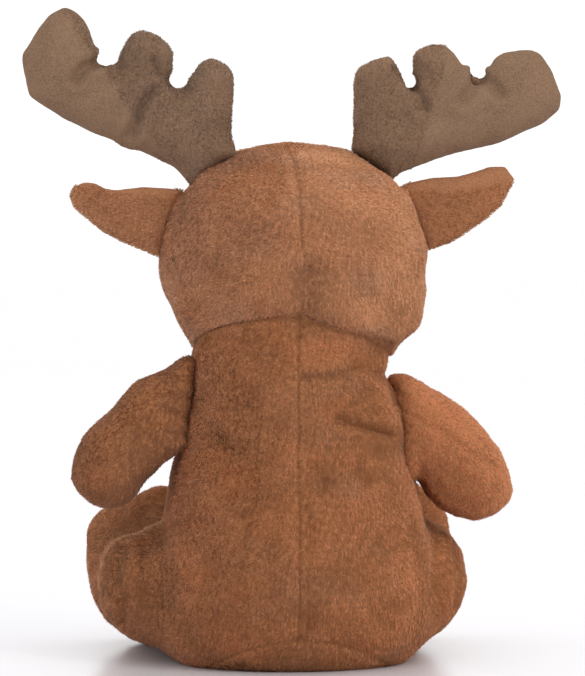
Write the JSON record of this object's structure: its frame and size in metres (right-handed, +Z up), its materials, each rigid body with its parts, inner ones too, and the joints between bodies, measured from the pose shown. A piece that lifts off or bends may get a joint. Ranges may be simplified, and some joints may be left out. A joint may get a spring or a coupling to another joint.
{
  "type": "plush deer",
  "caption": "Sitting plush deer with stuffed antlers and ears, raised arms and forward legs, sewn from short brown pile fabric.",
  "frame": {"origin": "point on the ground under the middle of the trunk, in the flat underside of the base panel", "axes": "+Z up through the trunk, -Y towards the face and the feet, +X towards the deer's own left arm"},
  "size_m": [0.2443, 0.1626, 0.2964],
  "materials": {
    "brown_pile": "short plush pile",
    "warm_pile": "short plush pile",
    "head_pile": "short plush pile",
    "antler_pile": "short shorn pile",
    "ear_pile": "short plush pile",
    "pale_pile": "short plush pile",
    "base_pile": "short plush pile",
    "filling": "loose polyester fibre",
    "pellets": "plastic pellets in a cloth bag",
    "button": "moulded, polished",
    "washer": "moulded",
    "thread": "sewing thread"
  },
  "bodies": {
    "torso": {"torso_back_left": "brown_pile", "torso_back_right": "brown_pile", "torso_belly": "warm_pile", "torso_base": "base_pile", "pellet_bag": "pellets", "torso_stuffing": "filling"},
    "neck": {"neck_filling": "filling"},
    "head": {"head_back_left": "head_pile", "head_back_right": "head_pile", "face_panel": "head_pile", "head_stuffing": "filling", "left_eye": "button", "left_eye_washer": "washer", "right_eye": "button", "right_eye_washer": "washer", "muzzle": "pale_pile", "muzzle_stuffing": "filling", "nose": "button", "nose_washer": "washer", "mouth_stitch": "thread"},
    "left_ear": {"left_ear_back": "ear_pile", "left_ear_lining": "pale_pile"},
    "right_ear": {"right_ear_back": "ear_pile", "right_ear_lining": "pale_pile"},
    "left_antler": {"left_antler_back": "antler_pile", "left_antler_front": "antler_pile", "left_antler_stuffing": "filling"},
    "right_antler": {"right_antler_back": "antler_pile", "right_antler_front": "antler_pile", "right_antler_stuffing": "filling"},
    "left_arm": {"left_arm_back": "brown_pile", "left_arm_front": "warm_pile", "left_arm_stuffing": "filling"},
    "right_arm": {"right_arm_back": "brown_pile", "right_arm_front": "warm_pile", "right_arm_stuffing": "filling"},
    "left_leg": {"left_leg_outer": "brown_pile", "left_leg_inner": "brown_pile", "left_leg_sole": "pale_pile", "left_leg_stuffing": "filling"},
    "right_leg": {"right_leg_outer": "brown_pile", "right_leg_inner": "brown_pile", "right_leg_sole": "pale_pile", "right_leg_stuffing": "filling"}
  },
  "joints": [
    {"name": "neck_turn", "type": "hinge", "parent": "torso", "child": "neck", "pos_m": [0, 0.00752, 0.12165], "axis": [0, -0.3256, 0.9455], "range_deg": [-30, 30], "stiffness_Nm_per_rad": 0.6},
    {"name": "head_nod", "type": "hinge", "parent": "neck", "child": "head", "pos_m": [0, 0.00752, 0.12165], "axis": [1, 0, 0], "range_deg": [-12, 12], "stiffness_Nm_per_rad": 1.2},
    {"name": "left_ear_fold", "type": "hinge", "parent": "head", "child": "left_ear", "pos_m": [0.05293, -0.004, 0.211], "axis": [0.3288, 0, -0.9444], "range_deg": [-20, 20], "stiffness_Nm_per_rad": 0.05},
    {"name": "right_ear_fold", "type": "hinge", "parent": "head", "child": "right_ear", "pos_m": [-0.05267, -0.004, 0.21271], "axis": [0.3994, 0, 0.9168], "range_deg": [-20, 20], "stiffness_Nm_per_rad": 0.05},
    {"name": "left_antler_bend", "type": "hinge", "parent": "head", "child": "left_antler", "pos_m": [0.03287, -0.004, 0.23095], "axis": [0.8156, 0, -0.5787], "range_deg": [-20, 20], "stiffness_Nm_per_rad": 0.15},
    {"name": "right_antler_bend", "type": "hinge", "parent": "head", "child": "right_antler", "pos_m": [-0.03415, -0.004, 0.23389], "axis": [0.7983, 0, 0.6022], "range_deg": [-20, 20], "stiffness_Nm_per_rad": 0.15},
    {"name": "left_arm_swing", "type": "hinge", "parent": "torso", "child": "left_arm", "pos_m": [0.05269, 0.002, 0.13679], "axis": [-0.1056, 0, 0.9944], "range_deg": [-30, 30], "stiffness_Nm_per_rad": 0.2},
    {"name": "right_arm_swing", "type": "hinge", "parent": "torso", "child": "right_arm", "pos_m": [-0.05157, 0.002, 0.12901], "axis": [-0.1176, 0, -0.9931], "range_deg": [-30, 30], "stiffness_Nm_per_rad": 0.2},
    {"name": "left_leg_swing", "type": "hinge", "parent": "torso", "child": "left_leg", "pos_m": [0.0525, -0.016, 0.036], "axis": [-1, 0, 0], "range_deg": [-4, 12], "stiffness_Nm_per_rad": 0.8},
    {"name": "right_leg_swing", "type": "hinge", "parent": "torso", "child": "right_leg", "pos_m": [-0.0475, -0.016, 0.036], "axis": [-1, 0, 0], "range_deg": [-4, 12], "stiffness_Nm_per_rad": 0.8}
  ]
}
